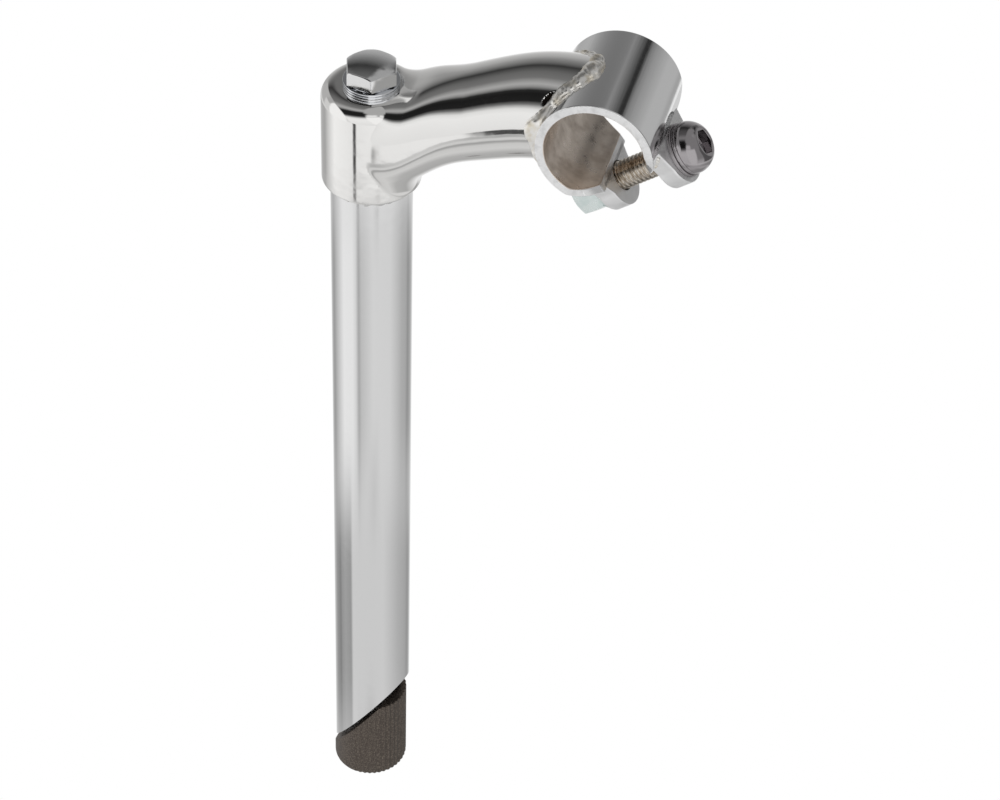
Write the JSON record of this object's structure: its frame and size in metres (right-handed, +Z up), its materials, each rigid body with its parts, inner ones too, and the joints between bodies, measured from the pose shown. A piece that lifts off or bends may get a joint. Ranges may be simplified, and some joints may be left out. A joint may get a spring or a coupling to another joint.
{
  "type": "handlebar stem",
  "caption": "Quill handlebar stem: a long tube with a slanted end and expander wedge, a forged arm, and a split band clamp closed by a bolt.",
  "frame": {"origin": "on the quill tube's axis at the lower edge of the neck's sleeve", "axes": "+Z up the quill tube, +X along the arm towards the handlebar clamp, Y along the handlebar"},
  "size_m": [0.1055, 0.0346, 0.2753],
  "materials": {
    "chrome_tube": "polished chrome plate on drawn tube",
    "chrome_forging": "polished chrome plate on a forging",
    "chrome_barrel": "chrome plate over fine belt lines",
    "chrome_lug": "satin chrome plate",
    "weld_bead": "chrome plate over a rough weld",
    "braze": "chrome plate over braze metal",
    "bolt_steel": "bright nickel plate",
    "washer_zinc": "bright zinc plate",
    "wedge_sintered": "raw sintered steel, speckled",
    "clamp_bolt_steel": "stainless steel, slightly darkened",
    "nut_zinc": "pale bluish zinc plate"
  },
  "bodies": {
    "stem": {"quill_tube": "chrome_tube", "neck_forging": "chrome_forging", "tube_braze_ring": "braze", "clamp_barrel": "chrome_barrel", "barrel_weld": "weld_bead", "upper_ear": "chrome_lug", "lower_ear": "chrome_lug", "upper_ear_weld": "weld_bead", "lower_ear_weld": "weld_bead", "expander_lower_washer": "washer_zinc", "expander_upper_washer": "washer_zinc", "clamp_flat_washer": "clamp_bolt_steel", "clamp_nut_washer": "nut_zinc"},
    "expander_bolt": {"expander_bolt": "bolt_steel"},
    "expander_wedge": {"expander_wedge": "wedge_sintered"},
    "clamp_bolt": {"clamp_bolt": "clamp_bolt_steel", "clamp_lock_washer": "clamp_bolt_steel"},
    "clamp_nut": {"clamp_nut": "nut_zinc"}
  },
  "joints": [
    {"name": "expander_bolt_turn", "type": "hinge", "parent": "stem", "child": "expander_bolt", "pos_m": [0, 0, 0.0328], "axis": [0, 0, 1], "range_deg": [-400, 4325]},
    {"name": "expander_wedge_travel", "type": "slide", "parent": "stem", "child": "expander_wedge", "axis": [0, 0, 1], "range_m": [-0.015, 0.00137]},
    {"name": "clamp_bolt_turn", "type": "hinge", "parent": "stem", "child": "clamp_bolt", "pos_m": [0.07395, 0, 0.01941], "axis": [0.8059, 0, 0.592], "range_deg": [-2, 1805]},
    {"name": "clamp_nut_travel", "type": "slide", "parent": "stem", "child": "clamp_nut", "axis": [0.8059, 0, 0.592], "range_m": [-0.00625, 0]}
  ],
  "couplings": [
    {"joint": "expander_bolt_turn", "follows": "expander_wedge_travel", "rad_per_m": -5026.5},
    {"joint": "clamp_bolt_turn", "follows": "clamp_nut_travel", "rad_per_m": -5026.5}
  ]
}
